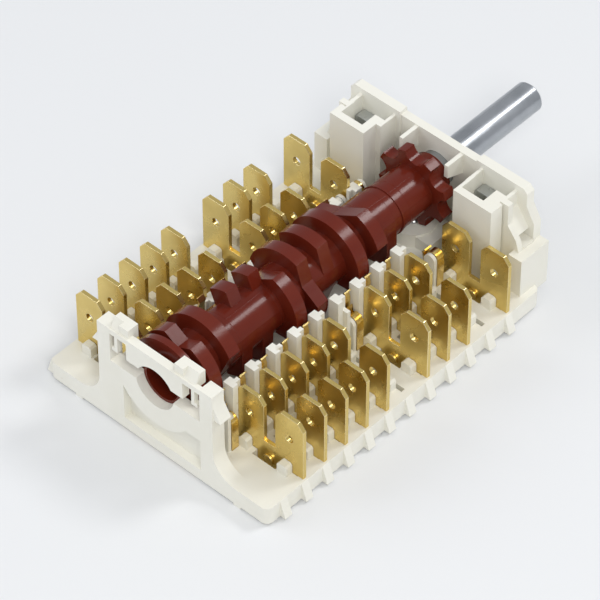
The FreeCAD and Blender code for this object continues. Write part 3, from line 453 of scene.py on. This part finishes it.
roundedNode("base_moulding", rounding["base"], cream, reshape=trimPosts)
turnedPosts()
roundedNode("cam_drum", rounding["drum"], redBrown)
roundedNode("drive_shaft", rounding["shaft"], shaftSteel)
roundedNode("captive_nuts", rounding["nut"], nutSteel)
roundedNode("contact_rivets", rounding["rivet"], rivetBrass, reshape=smallHeads)
roundedNode("bottom_cover", rounding["sheet"], cover)
for name in sorted(nodes):
    if name.startswith("terminal_"):
        # the tabs' rounded edges take the paler brass, a painted highlight
        roundedNode(name, rounding["tab"], tabBrass, edgeHighlightBrass)
print("edges rounded")


def paintPin():
    # the detent pin keeps its own mesh
    materials = nodes["detent_pin"].data.materials
    materials.clear()
    materials.append(nutSteel)


def pressedCoil():
    # a copy of the coil under the detent pin, shaded and in the pin's steel, standing in place of the node
    mesh = nodes["detent_spring"].data.copy()
    mend(mesh, mergeDoubles)
    shadeMesh(mesh, sharpAngle["wire"])
    mesh.materials.clear()
    mesh.materials.append(nutSteel)
    points = pointsOf(mesh)
    piece = bpy.data.objects.new("detentCoil", mesh)
    bpy.context.scene.collection.objects.link(piece)
    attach(piece, "housing")
    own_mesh(piece)
    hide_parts("detent_spring")
    return piece


def bentSpring(name):
    # the spring with its hump at the plate's foot, and turned to the plate's far side in the left row
    bend = {"edgePlay": 0.6 * mm,  # the hump begins this far inside the plate's edge
            "low": ("contact_spring_right_9", "contact_spring_left_9"), "noseDrop": 5.0 * mm,
            "ahead": 0.46}  # a spring's middle lies this part of a pitch nearer than its place
    side = name.split("_")[2]
    row = rows[side]
    mesh = nodes[name].data.copy()
    points = pointsOf(mesh)
    outside = points[:, 0] * row["sign"] > row["edge"] - bend["edgePlay"]
    raised = points[:, 2] > posts["floor"] + posts["raised"]
    points[outside & raised, 2] -= posts["humpDrop"]
    if name in bend["low"]:
        points[~outside & raised, 2] -= bend["noseDrop"]
    if side == "left":
        place = round((points[:, 1].mean() - row["near"]) / row["pitch"] + bend["ahead"])
        points[:, 1] = row["near"] + row["far"] + 2 * row["pitch"] * place - points[:, 1]
        mend(mesh, turnFaces)
    setPoints(mesh, points)
    mend(mesh, mergeDoubles, joinFaces)
    shadeMesh(mesh, sharpAngle["wire"])
    piece = finishPiece(name + "_bent", mesh, rounding["spring"], springBrass, None, "housing")
    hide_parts(name)
    return piece


paintPin()
pressedCoil()
for name in sorted(nodes):
    if name.startswith("contact_spring_"):
        bentSpring(name)
print("pin, coil and springs made")


def buildCamera():
    # solved from the corners of the base and the rows of tabs
    view = {"azimuth": 42.518, "elevation": 45.973, "distance": 710.7 * mm,
            "target": (-3.479 * mm, -33.685 * mm, -11.5 * mm), "lens": 245.2, "sensor": 36,
            "nearest": 20 * mm, "farthest": 20}
    azimuth, elevation = math.radians(view["azimuth"]), math.radians(view["elevation"])
    back = Vector((math.sin(azimuth) * math.cos(elevation), -math.cos(azimuth) * math.cos(elevation),
                   math.sin(elevation)))
    data = bpy.data.cameras.new("photoCamera")
    data.sensor_width = view["sensor"]
    data.lens = view["lens"]
    data.clip_start, data.clip_end = view["nearest"], view["farthest"]
    camera = bpy.data.objects.new("photoCamera", data)
    bpy.context.scene.collection.objects.link(camera)
    camera.rotation_mode = "QUATERNION"
    camera.location = Vector(view["target"]) + back * view["distance"]
    camera.rotation_quaternion = (-back).to_track_quat("-Z", "Y")
    bpy.context.scene.camera = camera


def buildLamp(name, place, aim, size, power, colour):
    data = bpy.data.lights.new(name, "AREA")
    data.shape = "DISK"
    data.size = size
    data.energy = power
    data.color = colour
    lamp = bpy.data.objects.new(name, data)
    bpy.context.scene.collection.objects.link(lamp)
    lamp.location = place
    lamp.rotation_mode = "QUATERNION"
    lamp.rotation_quaternion = (Vector(aim) - Vector(place)).to_track_quat("-Z", "Y")


def buildLamps():
    aim = (0, -33 * mm, -5 * mm)
    lamps = {"keyLamp": {"place": (0.40, -0.34, 0.56), "size": 0.30, "power": 1.8,
                         "colour": (1, 0.985, 0.95)},
             "sideLamp": {"place": (-0.48, -0.36, 0.40), "size": 0.40, "power": 0.95,
                          "colour": (0.97, 0.985, 1)},
             "backLamp": {"place": (0.22, 0.36, 0.56), "size": 0.20, "power": 1.25, "colour": (1, 1, 1)}}
    for name, lamp in lamps.items():
        buildLamp(name, aim=aim, **lamp)


def buildStudio():
    studio = {"floor": (0.80, 0.81, 0.82, 1), "half": 3.0, "roughness": 0.7, "below": 0.02 * mm,
              "sky": (0.94, 0.96, 1, 1), "skyStrength": 0.6}
    height = cadLow.z - studio["below"]
    mesh = bpy.data.meshes.new("floor")
    corners = np.array([[-1, -1, 0], [1, -1, 0], [1, 1, 0], [-1, 1, 0]]) * studio["half"] + [0, 0, height]
    mesh.from_pydata(corners.tolist(), [], [(0, 1, 2, 3)])
    plane = bpy.data.objects.new("floor", mesh)
    bpy.context.scene.collection.objects.link(plane)
    paper = Graph("floorPaper", Base_Color=studio["floor"], Roughness=studio["roughness"])
    mesh.materials.append(paper.material)
    world = bpy.data.worlds.new("studio")
    world.use_nodes = True
    sky = world.node_tree.nodes["Background"]
    sky.inputs["Color"].default_value = studio["sky"]
    sky.inputs["Strength"].default_value = studio["skyStrength"]
    bpy.context.scene.world = world
    bpy.context.scene.view_settings.view_transform = "Standard"


buildCamera()
buildStudio()
buildLamps()
print("camera, floor and lamps made")
